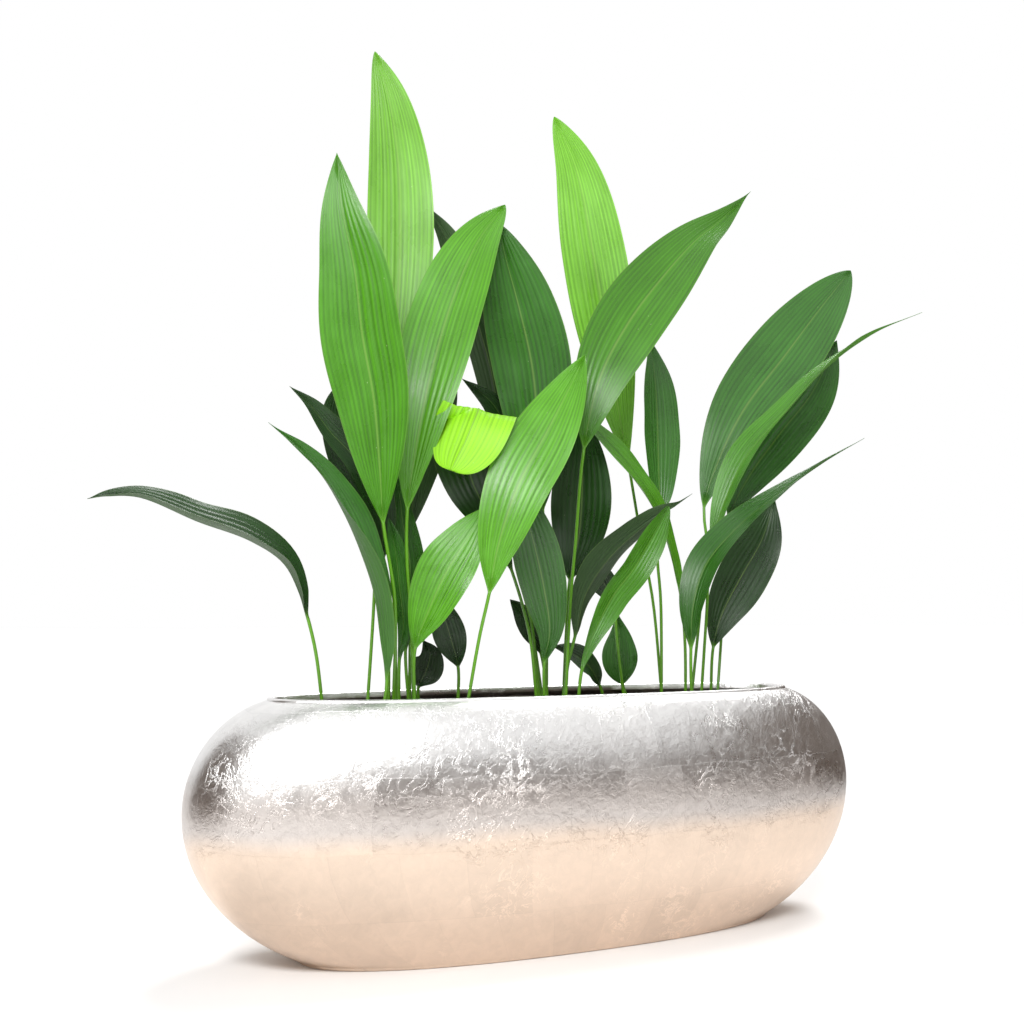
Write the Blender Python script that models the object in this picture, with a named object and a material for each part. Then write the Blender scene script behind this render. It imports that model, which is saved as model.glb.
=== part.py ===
"""A potted cast iron plant: an oval planter, the soil in it and the leaves that grow from it.

Metres, +Z up. The origin is the centre of the planter's base, on the floor. +X runs along the
planter, +Y across it, and -Y is its front.
"""

import math
from collections import namedtuple

import bmesh
import bpy
from mathutils import Vector

# The planter: a hollow oval bowl that bulges at its waist and turns in to a flat base and a mouth.
HEIGHT = 0.300
WAIST_LENGTH = 0.908
WAIST_DEPTH = 0.300
WAIST_HEIGHT = 0.1725
BASE_LENGTH = 0.644
BASE_DEPTH = 0.212
MOUTH_LENGTH = 0.720
MOUTH_DEPTH = 0.220
PLAN_POWER = 2.35  # 2 is an ellipse, and more is squarer
LOWER_TURN = 0.876  # how far round its quarter circle each half of the side goes: 1 ends level
UPPER_TURN = 0.968
WALL = 0.008
FLOOR = 0.012
BASE_EDGE = 0.004
RIM_ROUND = 0.0035
PLAN_POINTS = 44
SIDE_SPANS = 6

# The soil fills the planter to just under its rim, a little higher in the middle.
SOIL_GAP = 0.0005
SOIL_CREST = 0.287
SOIL_FALL = 0.014
SOIL_RINGS = 3

# The leaves: each is a stalk planted in the soil that widens into one blade.
STALK_RADIUS = 0.0022
TIP_RADIUS = 0.0005
PLANTED = 0.018
SOCKET_GAP = 0.0004
WEB_THICKNESS = 0.0011
STALK_SPANS = 3
BLADE_SPANS = 10
CURVE_STEPS = 10
BASE_TAPER = 0.95  # how fast a blade widens from its stalk: 1 is straight-sided

Leaf = namedtuple(
    "Leaf",
    "root stalk blade width widest facing fold twist tip_twist",
    defaults=(0, 0),
)

# Each row: where it stands in the soil, then points up its stalk and along its blade to the tip. facing is
# the compass direction of the upper side at the stalk, in degrees from +X towards +Y. fold is how far each
# half of the blade rises, and twist and tip_twist turn it on the way up and near its tip, in degrees.
LEAVES = {
    "left_leaf_01": Leaf(
        root=(-0.295, 0),
        stalk=[(-0.305, 0, 0.35), (-0.315, 0, 0.39)],
        blade=[
            (-0.325, 0, 0.42), (-0.345, 0, 0.455), (-0.385, 0, 0.48), (-0.445, 0, 0.5),
            (-0.51, 0, 0.525), (-0.545, 0, 0.525), (-0.565, 0, 0.52),
        ],
        width=0.065, widest=0.45, facing=-30, fold=30,
    ),
    "left_leaf_02": Leaf(
        root=(-0.22, -0.03),
        stalk=[(-0.225, -0.045, 0.41), (-0.24, -0.045, 0.5)],
        blade=[
            (-0.245, -0.045, 0.565), (-0.255, -0.05, 0.645), (-0.27, -0.05, 0.72), (-0.28, -0.05, 0.795),
            (-0.295, -0.045, 0.87), (-0.3, -0.04, 0.935),
        ],
        width=0.098, widest=0.48, facing=-125, fold=10,
    ),
    "left_leaf_03": Leaf(
        root=(-0.23, 0.03),
        stalk=[(-0.22, 0.04, 0.385), (-0.21, 0.05, 0.51), (-0.195, 0.055, 0.615)],
        blade=[
            (-0.185, 0.06, 0.745), (-0.18, 0.06, 0.86), (-0.185, 0.055, 0.97), (-0.2, 0.05, 1.05),
            (-0.22, 0.05, 1.11),
        ],
        width=0.086, widest=0.55, facing=-105, fold=8,
    ),
    "left_leaf_04": Leaf(
        root=(-0.245, -0.06),
        stalk=[(-0.24, -0.06, 0.32)],
        blade=[
            (-0.245, -0.055, 0.365), (-0.25, -0.045, 0.42), (-0.26, -0.03, 0.465), (-0.275, -0.015, 0.51),
            (-0.3, 0, 0.56), (-0.325, 0.01, 0.59), (-0.36, 0.02, 0.62),
        ],
        width=0.068, widest=0.4, facing=-5, fold=35, twist=-80,
    ),
    "left_leaf_05": Leaf(
        root=(-0.19, -0.02),
        stalk=[(-0.195, -0.02, 0.4), (-0.2, -0.02, 0.46), (-0.2, -0.02, 0.52)],
        blade=[
            (-0.19, -0.015, 0.58), (-0.17, -0.009, 0.67), (-0.13, 0.01, 0.785), (-0.09, 0.02, 0.87),
            (-0.045, 0.03, 0.93),
        ],
        width=0.095, widest=0.55, facing=-125, fold=15,
    ),
    "left_leaf_06": Leaf(
        root=(-0.21, 0.01),
        stalk=[(-0.21, 0.015, 0.39), (-0.215, 0.02, 0.46)],
        blade=[
            (-0.22, 0.02, 0.515), (-0.25, 0.02, 0.58), (-0.285, 0.02, 0.615), (-0.31, 0.02, 0.645),
            (-0.335, 0.02, 0.665),
        ],
        width=0.055, widest=0.45, facing=-75, fold=25,
    ),
    "left_leaf_07": Leaf(
        root=(-0.185, 0.05),
        stalk=[(-0.185, 0.06, 0.415), (-0.195, 0.07, 0.5)],
        blade=[(-0.215, 0.07, 0.55), (-0.24, 0.07, 0.6), (-0.255, 0.07, 0.645), (-0.25, 0.07, 0.69)],
        width=0.075, widest=0.5, facing=-85, fold=10,
    ),
    "left_leaf_08": Leaf(
        root=(-0.18, 0.02),
        stalk=[(-0.185, 0.02, 0.35)],
        blade=[
            (-0.18, 0.02, 0.415), (-0.18, 0.02, 0.46), (-0.19, 0.02, 0.51), (-0.195, 0.02, 0.545),
            (-0.205, 0.02, 0.58),
        ],
        width=0.045, widest=0.5, facing=-135, fold=15,
    ),
    "left_leaf_09": Leaf(
        root=(-0.205, -0.01),
        stalk=[(-0.205, -0.01, 0.34)],
        blade=[
            (-0.2, -0.01, 0.385), (-0.205, -0.01, 0.425), (-0.21, -0.01, 0.465), (-0.22, -0.01, 0.51),
        ],
        width=0.03, widest=0.55, facing=-85, fold=20,
    ),
    "left_leaf_10": Leaf(
        root=(-0.195, -0.035),
        stalk=[(-0.195, -0.035, 0.355)],
        blade=[
            (-0.18, -0.04, 0.4), (-0.16, -0.045, 0.445), (-0.135, -0.05, 0.485), (-0.11, -0.05, 0.525),
        ],
        width=0.07, widest=0.5, facing=-130, fold=12,
    ),
    "left_leaf_11": Leaf(
        root=(-0.155, 0.05),
        stalk=[(-0.155, 0.05, 0.305)],
        blade=[(-0.145, 0.05, 0.325), (-0.14, 0.05, 0.345), (-0.15, 0.05, 0.365)],
        width=0.042, widest=0.4, facing=-115, fold=10,
    ),
    "left_leaf_12": Leaf(
        root=(-0.11, 0.03),
        stalk=[(-0.11, 0.03, 0.33)],
        blade=[(-0.12, 0.03, 0.365), (-0.13, 0.03, 0.395), (-0.14, 0.03, 0.425)],
        width=0.042, widest=0.45, facing=-115, fold=10,
    ),
    "left_leaf_13": Leaf(
        root=(-0.175, 0.03),
        stalk=[(-0.175, 0.03, 0.4), (-0.175, 0.03, 0.5)],
        blade=[
            (-0.165, 0.035, 0.565), (-0.145, 0.04, 0.62), (-0.12, 0.045, 0.67), (-0.105, 0.05, 0.715),
        ],
        width=0.05, widest=0.45, facing=65, fold=12,
    ),
    "middle_leaf_01": Leaf(
        root=(0.025, 0.06),
        stalk=[(0.015, 0.08, 0.415), (-0.005, 0.085, 0.575)],
        blade=[
            (-0.025, 0.08, 0.64), (-0.04, 0.08, 0.72), (-0.07, 0.08, 0.81), (-0.105, 0.08, 0.89),
            (-0.135, 0.08, 0.93),
        ],
        width=0.06, widest=0.5, facing=35, fold=10,
    ),
    "middle_leaf_02": Leaf(
        root=(0.01, 0.02),
        stalk=[(0.01, 0.02, 0.415), (0.005, 0.02, 0.53)],
        blade=[
            (0, 0.02, 0.61), (-0.01, 0.02, 0.715), (-0.03, 0.02, 0.795), (-0.05, 0.02, 0.86),
            (-0.06, 0.02, 0.9),
        ],
        width=0.105, widest=0.55, facing=-120, fold=10,
    ),
    "middle_leaf_03": Leaf(
        root=(0.01, -0.03),
        stalk=[(0.02, -0.025, 0.41), (0.025, -0.03, 0.485), (0.035, -0.035, 0.605)],
        blade=[
            (0.06, -0.035, 0.7), (0.105, -0.03, 0.775), (0.165, -0.02, 0.845), (0.23, -0.01, 0.91),
            (0.275, -0.005, 0.945), (0.33, 0, 0.995),
        ],
        width=0.095, widest=0.42, facing=-115, fold=10, tip_twist=65,
    ),
    "middle_leaf_04": Leaf(
        root=(-0.145, -0.072),
        stalk=[(-0.13, -0.075, 0.37), (-0.12, -0.08, 0.42)],
        blade=[
            (-0.11, -0.08, 0.47), (-0.085, -0.083, 0.545), (-0.04, -0.079, 0.62), (0, -0.07, 0.685),
            (0.02, -0.065, 0.72),
        ],
        width=0.084, widest=0.5, facing=-125, fold=12,
    ),
    "middle_leaf_05": Leaf(
        root=(0.025, 0),
        stalk=[(0.03, 0, 0.33), (0.04, 0, 0.365)],
        blade=[
            (0.055, 0, 0.42), (0.085, -0.005, 0.465), (0.12, -0.015, 0.5), (0.15, -0.03, 0.525),
            (0.175, -0.033, 0.54), (0.2, -0.035, 0.555),
        ],
        width=0.06, widest=0.4, facing=120, fold=12, tip_twist=60,
    ),
    "middle_leaf_06": Leaf(
        root=(0.005, -0.07),
        stalk=[(0.01, -0.07, 0.325)],
        blade=[
            (0.02, -0.07, 0.355), (0.035, -0.07, 0.385), (0.06, -0.065, 0.42), (0.09, -0.06, 0.45),
            (0.115, -0.06, 0.485), (0.15, -0.055, 0.535),
        ],
        width=0.045, widest=0.6, facing=-85, fold=20,
    ),
    "middle_leaf_07": Leaf(
        root=(0.04, 0.03),
        stalk=[(0.045, 0.03, 0.38), (0.05, 0.03, 0.44)],
        blade=[(0.065, 0.03, 0.505), (0.07, 0.03, 0.575), (0.07, 0.03, 0.625), (0.065, 0.03, 0.685)],
        width=0.082, widest=0.42, facing=-125, fold=12,
    ),
    "middle_leaf_08": Leaf(
        root=(-0.02, -0.03),
        stalk=[(-0.02, -0.03, 0.335)],
        blade=[
            (-0.015, -0.035, 0.375), (-0.025, -0.04, 0.425), (-0.04, -0.045, 0.475), (-0.055, -0.05, 0.515),
            (-0.07, -0.05, 0.555),
        ],
        width=0.062, widest=0.55, facing=-115, fold=15,
    ),
    "middle_leaf_09": Leaf(
        root=(-0.015, 0),
        stalk=[(-0.025, 0, 0.37), (-0.05, 0, 0.45)],
        blade=[
            (-0.08, 0, 0.515), (-0.105, 0, 0.56), (-0.115, 0, 0.605), (-0.12, -0.03, 0.63),
            (-0.115, -0.04, 0.645), (-0.125, -0.05, 0.63), (-0.14, -0.055, 0.6), (-0.16, -0.06, 0.565),
        ],
        width=0.096, widest=0.72, facing=-115, fold=8,
    ),
    "middle_leaf_10": Leaf(
        root=(0.025, 0.045),
        stalk=[(0.015, 0.045, 0.345)],
        blade=[(0, 0.045, 0.375), (-0.015, 0.045, 0.4), (-0.03, 0.045, 0.415)],
        width=0.028, widest=0.5, facing=-115, fold=10,
    ),
    "middle_leaf_11": Leaf(
        root=(0.115, 0.055),
        stalk=[(0.11, 0.055, 0.3)],
        blade=[(0.095, 0.055, 0.325), (0.065, 0.055, 0.345), (0.035, 0.055, 0.355)],
        width=0.045, widest=0.4, facing=-55, fold=10,
    ),
    "middle_leaf_12": Leaf(
        root=(0.16, 0.07),
        stalk=[(0.155, 0.07, 0.3)],
        blade=[(0.15, 0.07, 0.335), (0.15, 0.07, 0.37), (0.145, 0.07, 0.405)],
        width=0.05, widest=0.35, facing=-115, fold=10,
    ),
    "middle_leaf_13": Leaf(
        root=(0.135, 0.035),
        stalk=[(0.125, 0.035, 0.36), (0.12, 0.035, 0.41)],
        blade=[(0.11, 0.035, 0.43), (0.095, 0.035, 0.45), (0.08, 0.035, 0.47)],
        width=0.035, widest=0.5, facing=-115, fold=10,
    ),
    "middle_leaf_14": Leaf(
        root=(0.005, 0.03),
        stalk=[(-0.005, 0.035, 0.39), (-0.015, 0.04, 0.43), (-0.015, 0.05, 0.57)],
        blade=[(-0.03, 0.055, 0.635), (-0.05, 0.055, 0.67), (-0.095, 0.055, 0.7)],
        width=0.035, widest=0.45, facing=-115, fold=10,
    ),
    "right_leaf_01": Leaf(
        root=(0.205, 0.05),
        stalk=[(0.195, 0.055, 0.415), (0.18, 0.06, 0.5), (0.16, 0.06, 0.605)],
        blade=[
            (0.145, 0.06, 0.675), (0.125, 0.06, 0.785), (0.105, 0.06, 0.895), (0.08, 0.06, 1.005),
            (0.045, 0.06, 1.075),
        ],
        width=0.09, widest=0.55, facing=-115, fold=10,
    ),
    "right_leaf_02": Leaf(
        root=(0.21, 0),
        stalk=[(0.21, 0, 0.355), (0.205, 0, 0.415)],
        blade=[
            (0.19, 0, 0.475), (0.165, 0, 0.535), (0.12, 0, 0.59), (0.07, 0, 0.635),
            (0.05, 0.01, 0.665),
        ],
        width=0.05, widest=0.6, facing=-55, fold=20,
    ),
    "right_leaf_03": Leaf(
        root=(0.185, 0.02),
        stalk=[(0.185, 0.02, 0.415), (0.18, 0.02, 0.48), (0.185, 0.02, 0.525)],
        blade=[(0.19, 0.03, 0.595), (0.195, 0.04, 0.665), (0.195, 0.045, 0.725), (0.19, 0.05, 0.78)],
        width=0.075, widest=0.5, facing=-80, fold=15,
    ),
    "right_leaf_04": Leaf(
        root=(0.24, 0.03),
        stalk=[(0.265, 0.04, 0.415), (0.275, 0.04, 0.5), (0.275, 0.045, 0.545)],
        blade=[
            (0.305, 0.05, 0.615), (0.35, 0.05, 0.69), (0.425, 0.05, 0.775), (0.495, 0.05, 0.855),
            (0.555, 0.05, 0.92),
        ],
        width=0.11, widest=0.55, facing=-125, fold=10,
    ),
    "right_leaf_05": Leaf(
        root=(0.29, 0.04),
        stalk=[(0.315, 0.06, 0.39), (0.335, 0.08, 0.47), (0.35, 0.09, 0.535)],
        blade=[(0.385, 0.09, 0.595), (0.445, 0.09, 0.665), (0.51, 0.09, 0.735), (0.56, 0.09, 0.82)],
        width=0.09, widest=0.5, facing=-125, fold=10,
    ),
    "right_leaf_06": Leaf(
        root=(0.235, 0),
        stalk=[(0.245, 0, 0.39), (0.255, 0, 0.49)],
        blade=[
            (0.275, -0.005, 0.55), (0.31, -0.01, 0.615), (0.37, -0.02, 0.68), (0.44, -0.03, 0.75),
            (0.525, -0.03, 0.805), (0.62, -0.03, 0.845),
        ],
        width=0.055, widest=0.3, facing=-165, fold=25, twist=-30,
    ),
    "right_leaf_07": Leaf(
        root=(0.185, -0.05),
        stalk=[(0.185, -0.05, 0.35)],
        blade=[
            (0.19, -0.05, 0.41), (0.21, -0.05, 0.46), (0.26, -0.05, 0.51), (0.325, -0.05, 0.555),
            (0.405, -0.05, 0.605), (0.485, -0.05, 0.645),
        ],
        width=0.055, widest=0.33, facing=-145, fold=20, twist=-40,
    ),
    "right_leaf_08": Leaf(
        root=(0.265, 0.02),
        stalk=[(0.27, 0.02, 0.35)],
        blade=[(0.285, 0.02, 0.395), (0.32, 0.02, 0.45), (0.355, 0.02, 0.5), (0.38, 0.02, 0.56)],
        width=0.075, widest=0.5, facing=-105, fold=10,
    ),
}


def clear_scene():
    for obj in list(bpy.data.objects):
        bpy.data.objects.remove(obj, do_unlink=True)


def finish(name, colour, roughness, metallic=0.0):
    """A plain material of one colour."""
    made = bpy.data.materials.new(name)
    made.use_nodes = True
    shader = made.node_tree.nodes["Principled BSDF"]
    shader.inputs["Base Color"].default_value = (*colour, 1.0)
    shader.inputs["Roughness"].default_value = roughness
    shader.inputs["Metallic"].default_value = metallic
    return made


def lofted(name, rings, material, thin=False):
    """One closed body through the rings, each with the same number of points, and a flat cap at both ends.

    A thin body gets triangles that slant the same way over and under it, so that its sides stay parallel.
    """
    shape = bmesh.new()
    loops = [[shape.verts.new(point) for point in ring] for ring in rings]
    count = len(loops[0])
    for low, high in zip(loops, loops[1:]):
        for i in range(count):
            j = (i + 1) % count
            if not thin:
                shape.faces.new((low[i], low[j], high[j], high[i]))
            elif i < count // 2:
                shape.faces.new((low[i], low[j], high[j]))
                shape.faces.new((low[i], high[j], high[i]))
            else:
                shape.faces.new((low[i], low[j], high[i]))
                shape.faces.new((low[j], high[j], high[i]))
    shape.faces.new(list(reversed(loops[0])))
    shape.faces.new(loops[-1])
    mesh = bpy.data.meshes.new(name)
    shape.to_mesh(mesh)
    shape.free()
    mesh.shade_smooth()
    mesh.set_sharp_from_angle(angle=math.radians(50))
    mesh.materials.append(material)
    obj = bpy.data.objects.new(name, mesh)
    bpy.context.scene.collection.objects.link(obj)
    return obj


def signed_power(value, power):
    return math.copysign(abs(value) ** power, value)


def plan_ring(half_length, half_depth, height):
    """The planter's plan at one height: a superellipse, anticlockwise from +X seen from above."""
    ring = []
    for i in range(PLAN_POINTS):
        angle = 2 * math.pi * i / PLAN_POINTS
        x = half_length * signed_power(math.cos(angle), 2 / PLAN_POWER)
        y = half_depth * signed_power(math.sin(angle), 2 / PLAN_POWER)
        ring.append(Vector((x, y, height)))
    return ring


def inset_share(share, turn):
    """How far the side has turned in, from 0 at the waist to 1 at the end, share of the way up or down."""
    return (1 - math.sqrt(1 - (turn * share) ** 2)) / (1 - math.sqrt(1 - turn**2))


def lower_halves(share):
    """Half length and half depth of the outside, share of the way from the waist down to the base."""
    inset = inset_share(share, LOWER_TURN)
    length = WAIST_LENGTH - (WAIST_LENGTH - BASE_LENGTH) * inset
    depth = WAIST_DEPTH - (WAIST_DEPTH - BASE_DEPTH) * inset
    return length / 2, depth / 2


def upper_halves(share):
    """Half length and half depth of the outside, share of the way from the waist up to the mouth."""
    inset = inset_share(share, UPPER_TURN)
    length = WAIST_LENGTH - (WAIST_LENGTH - MOUTH_LENGTH) * inset
    depth = WAIST_DEPTH - (WAIST_DEPTH - MOUTH_DEPTH) * inset
    return length / 2, depth / 2


def side_rings(bottom, top, inward):
    """Rings from bottom to top that follow the side, moved inward by a distance."""
    rings = []
    for i in range(SIDE_SPANS, 0, -1):
        share = math.sin(math.pi / 2 * i / SIDE_SPANS)
        half_length, half_depth = lower_halves(share)
        height = WAIST_HEIGHT - (WAIST_HEIGHT - bottom) * share
        rings.append(plan_ring(half_length - inward, half_depth - inward, height))
    for i in range(SIDE_SPANS + 1):
        share = math.sin(math.pi / 2 * i / SIDE_SPANS)
        half_length, half_depth = upper_halves(share)
        height = WAIST_HEIGHT + (top - WAIST_HEIGHT) * share
        rings.append(plan_ring(half_length - inward, half_depth - inward, height))
    return rings


def rim_rings():
    """The rounded edge of the mouth, from its outside over the top to its inside."""
    centre = WALL / 2
    rings = []
    for degrees in (50, 90, 130):
        out = centre * math.cos(math.radians(degrees)) - centre
        up = RIM_ROUND * math.sin(math.radians(degrees)) - RIM_ROUND
        rings.append(plan_ring(MOUTH_LENGTH / 2 + out, MOUTH_DEPTH / 2 + out, HEIGHT + up))
    return rings


def make_planter(material):
    outside = side_rings(BASE_EDGE, HEIGHT - RIM_ROUND, 0.0)
    foot = plan_ring(BASE_LENGTH / 2 - BASE_EDGE, BASE_DEPTH / 2 - BASE_EDGE, 0.0)
    inside = side_rings(FLOOR, HEIGHT - WALL, WALL)
    return lofted("planter", [foot] + outside + rim_rings() + list(reversed(inside)), material)


def soil_height(x):
    """The height of the soil's surface, which falls off towards the ends of the planter."""
    return SOIL_CREST - SOIL_FALL * abs(2 * x / MOUTH_LENGTH) ** 3


def make_soil(material, sockets):
    inward = WALL + SOIL_GAP
    edge = SOIL_CREST - SOIL_FALL
    rings = side_rings(FLOOR + SOIL_GAP, HEIGHT - WALL, inward)
    rings = [ring for ring in rings if ring[0].z < edge]
    rim = rings[-1]
    for i in range(SOIL_RINGS):
        share = 1 - (i + 0.5) / SOIL_RINGS
        ring = [Vector((point.x * share, point.y * share, 0)) for point in rim]
        for point in ring:
            point.z = soil_height(point.x)
        rings.append(ring)
    soil = lofted("soil", rings, material)
    holes = soil.modifiers.new("stalk sockets", "BOOLEAN")
    holes.operation = "DIFFERENCE"
    holes.solver = "EXACT"
    holes.operand_type = "COLLECTION"
    holes.collection = sockets
    return soil


def curve_through(points):
    """Points along a smooth curve through the given ones, and the place of each in that list."""
    padded = [2 * points[0] - points[1], *points, 2 * points[-1] - points[-2]]
    made = []
    for i in range(1, len(padded) - 2):
        before, start, end, after = padded[i - 1 : i + 3]
        knots = [0.0]
        for a, b in ((before, start), (start, end), (end, after)):
            knots.append(knots[-1] + math.sqrt((b - a).length))
        for step in range(CURVE_STEPS):
            at = knots[1] + (knots[2] - knots[1]) * step / CURVE_STEPS
            first = before.lerp(start, at / knots[1])
            middle = start.lerp(end, (at - knots[1]) / (knots[2] - knots[1]))
            last = end.lerp(after, (at - knots[2]) / (knots[3] - knots[2]))
            low = first.lerp(middle, at / knots[2])
            high = middle.lerp(last, (at - knots[1]) / (knots[3] - knots[1]))
            made.append(low.lerp(high, (at - knots[1]) / (knots[2] - knots[1])))
    made.append(points[-1].copy())
    return made


def spaced(curve, spans):
    """Points that share out the length of the curve evenly."""
    lengths = [0.0]
    for a, b in zip(curve, curve[1:]):
        lengths.append(lengths[-1] + (b - a).length)
    made = []
    i = 0
    for k in range(spans + 1):
        wanted = lengths[-1] * k / spans
        while i < len(curve) - 2 and lengths[i + 1] < wanted:
            i += 1
        made.append(curve[i].lerp(curve[i + 1], (wanted - lengths[i]) / (lengths[i + 1] - lengths[i])))
    return made


def half_width(leaf, share):
    """Half the blade's width, share of the way from its stalk to its tip."""
    tip_taper = BASE_TAPER * (1 - leaf.widest) / leaf.widest
    shape = share**BASE_TAPER * (1 - share) ** tip_taper
    fullest = leaf.widest**BASE_TAPER * (1 - leaf.widest) ** tip_taper
    return leaf.width / 2 * shape / fullest


def section(point, side, up, half, thickness, fold):
    """Eight points round a stalk or a blade: its edges, its ribs and the webs between them."""
    ring = []
    for across, above in ((1, 0), (0.5, 1), (0, 2), (-0.5, 1), (-1, 0), (-0.5, -1), (0, -2), (0.5, -1)):
        lift = half * abs(across) ** 1.3 * math.sin(fold) + thickness * above / 2
        ring.append(point + side * (half * across * math.cos(fold)) + up * lift)
    return ring


def leaf_rings(leaf):
    """The sections of one leaf from its planted end to its tip."""
    ground = soil_height(leaf.root[0])
    root = Vector((*leaf.root, ground))
    stalk = [root, *map(Vector, leaf.stalk)]
    curve = curve_through([*stalk, *map(Vector, leaf.blade)])
    collar = (len(stalk) - 1) * CURVE_STEPS
    stalk_points = spaced(curve[: collar + 1], STALK_SPANS)
    blade_points = spaced(curve[collar:], BLADE_SPANS)
    points = stalk_points + blade_points[1:]
    up = Vector((math.cos(math.radians(leaf.facing)), math.sin(math.radians(leaf.facing)), 0))
    planted = root - Vector((0, 0, PLANTED))
    level_side = up.cross(Vector((0, 0, 1)))
    rings = []
    for base in (planted, root):
        rings.append(section(base, level_side, up, STALK_RADIUS, STALK_RADIUS, 0))
    for i in range(1, len(points)):
        ahead = points[min(i + 1, len(points) - 1)]
        along = (ahead - points[i - 1]).normalized()
        up = (up - along * up.dot(along)).normalized()
        share = max(0.0, (i - STALK_SPANS) / BLADE_SPANS)
        end_share = max(0.0, (share - 0.75) / 0.25)
        spin = math.radians(leaf.twist * share + leaf.tip_twist * end_share**1.5)
        turned = up * math.cos(spin) + along.cross(up) * math.sin(spin)
        radius = STALK_RADIUS + (TIP_RADIUS - STALK_RADIUS) * share
        width = half_width(leaf, share)
        half = math.hypot(radius, width)
        web = radius + (WEB_THICKNESS / 2 - radius) * min(1, width / 0.01)
        fold = math.radians(leaf.fold) * min(1, share / 0.1)
        rings.append(section(points[i], turned.cross(along), turned, half, web, fold))
    return rings


def make_leaf(name, leaf, material):
    return lofted(name, leaf_rings(leaf), material, thin=True)


def make_socket(name, leaf, material, sockets):
    """The hole in the soil that one planted stalk stands in, as a cutter."""
    ground = soil_height(leaf.root[0])
    facing = Vector((math.cos(math.radians(leaf.facing)), math.sin(math.radians(leaf.facing)), 0))
    side = facing.cross(Vector((0, 0, 1)))
    radius = STALK_RADIUS + SOCKET_GAP
    rings = []
    for height in (ground - PLANTED - SOCKET_GAP, ground + PLANTED):
        centre = Vector((*leaf.root, height))
        rings.append(section(centre, side, facing, radius, radius, 0))
    cutter = lofted(name + " socket", rings, material)
    cutter.hide_render = True
    cutter.display_type = "WIRE"
    bpy.context.scene.collection.objects.unlink(cutter)
    sockets.objects.link(cutter)


def main():
    clear_scene()
    silver = finish("silver leaf", (0.74, 0.71, 0.68), 0.32, metallic=1.0)
    earth = finish("potting soil", (0.045, 0.03, 0.02), 0.95)
    green = finish("leaf green", (0.06, 0.19, 0.02), 0.38)
    sockets = bpy.data.collections.new("sockets")
    sockets.hide_render = True
    bpy.context.scene.collection.children.link(sockets)
    make_planter(silver)
    for name, leaf in LEAVES.items():
        make_leaf(name, leaf, green)
        make_socket(name, leaf, earth, sockets)
    make_soil(earth, sockets)


main()
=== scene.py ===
"""The looks of a potted cast iron plant, laid out as a Blender add-on.

Run as a script it builds the fine meshes and materials of the leaves, the soil and the planter around
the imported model, and a plain studio to look at them in.
"""

import math
from collections import namedtuple

import bpy
import numpy as np
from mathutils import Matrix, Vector, noise


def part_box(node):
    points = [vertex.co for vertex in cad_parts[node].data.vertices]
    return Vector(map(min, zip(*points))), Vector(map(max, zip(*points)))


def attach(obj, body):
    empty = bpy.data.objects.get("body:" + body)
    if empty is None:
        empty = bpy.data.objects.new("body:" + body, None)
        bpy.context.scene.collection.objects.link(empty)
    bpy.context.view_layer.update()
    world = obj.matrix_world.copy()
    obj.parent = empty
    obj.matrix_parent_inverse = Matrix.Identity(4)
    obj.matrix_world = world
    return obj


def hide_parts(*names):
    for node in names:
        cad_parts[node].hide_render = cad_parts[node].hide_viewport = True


bl_info = {
    "name": "Potted Cast Iron Plant",
    "version": (1, 0, 0),
    "blender": (4, 5, 0),
    "location": "View3D > Sidebar > Plant",
    "description": "Builds a cast iron plant with ribbed leaves in an oval silver leaf planter",
    "category": "Add Mesh",
}

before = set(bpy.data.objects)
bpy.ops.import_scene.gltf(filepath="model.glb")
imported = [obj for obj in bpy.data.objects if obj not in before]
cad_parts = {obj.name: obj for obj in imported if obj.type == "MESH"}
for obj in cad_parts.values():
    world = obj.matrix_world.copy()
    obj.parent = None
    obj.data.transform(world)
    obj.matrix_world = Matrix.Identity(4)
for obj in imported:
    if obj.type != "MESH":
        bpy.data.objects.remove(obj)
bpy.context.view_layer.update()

# The planter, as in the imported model.
PLANTER_LOW, PLANTER_HIGH = (Vector(corner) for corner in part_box("planter"))
HEIGHT = PLANTER_HIGH.z
WAIST_LENGTH = PLANTER_HIGH.x - PLANTER_LOW.x
WAIST_DEPTH = PLANTER_HIGH.y - PLANTER_LOW.y
WAIST_HEIGHT = 0.1725
BASE_LENGTH = 0.644
BASE_DEPTH = 0.212
MOUTH_LENGTH = 0.720
MOUTH_DEPTH = 0.220
PLAN_POWER = 2.35
LOWER_TURN = 0.876
UPPER_TURN = 0.968
WALL = 0.008
FLOOR = 0.012
BASE_EDGE = 0.004
RIM_ROUND = 0.0035
PLAN_POINTS = 256
SIDE_SPANS = 28
SHARP_ANGLE = math.radians(62)

# The soil.
SOIL_CREST = 0.287
SOIL_FALL = 0.014
SOIL_GAP = 0.0005
SOIL_RINGS = 48

# The leaves.
STALK_RADIUS = 0.0020
TIP_RADIUS = 0.0003
PLANTED = 0.018
CURVE_STEPS = 24
BASE_TAPER = 0.95  # how fast a blade widens from its stalk: 1 is straight-sided
RIB_REACH = 0.0018  # how far the midrib spreads to each side
LEAFY_WIDTH = 0.007  # half width at which a stalk has become a blade
STALK_SPANS = 14
BLADE_SPANS = 60
ACROSS = 40

# The stage. Lengths are in metres, the camera's lens and sensor in millimetres and its turn in degrees.
FLOOR_REACH = 40.0
KEY_FROM = (1.1, 0.75, 2.2)
KEY_SPREAD = math.radians(28)
FRONT_LAMP_SIZE = (1.5, 0.7)
FRONT_LAMP_PLACE = (-1.35, -1.75, 1.95)
FRONT_LAMP_AIM = (-0.05, 0, 0.35)
SOFT_LIGHT = 0.5
CAMERA_PLACE = (-0.785, -1.460, 0.393)
CAMERA_TURN = (94.59, 0.0, -26.73)
CAMERA_LENS = 45.7
CAMERA_SENSOR = 36.0

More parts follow.
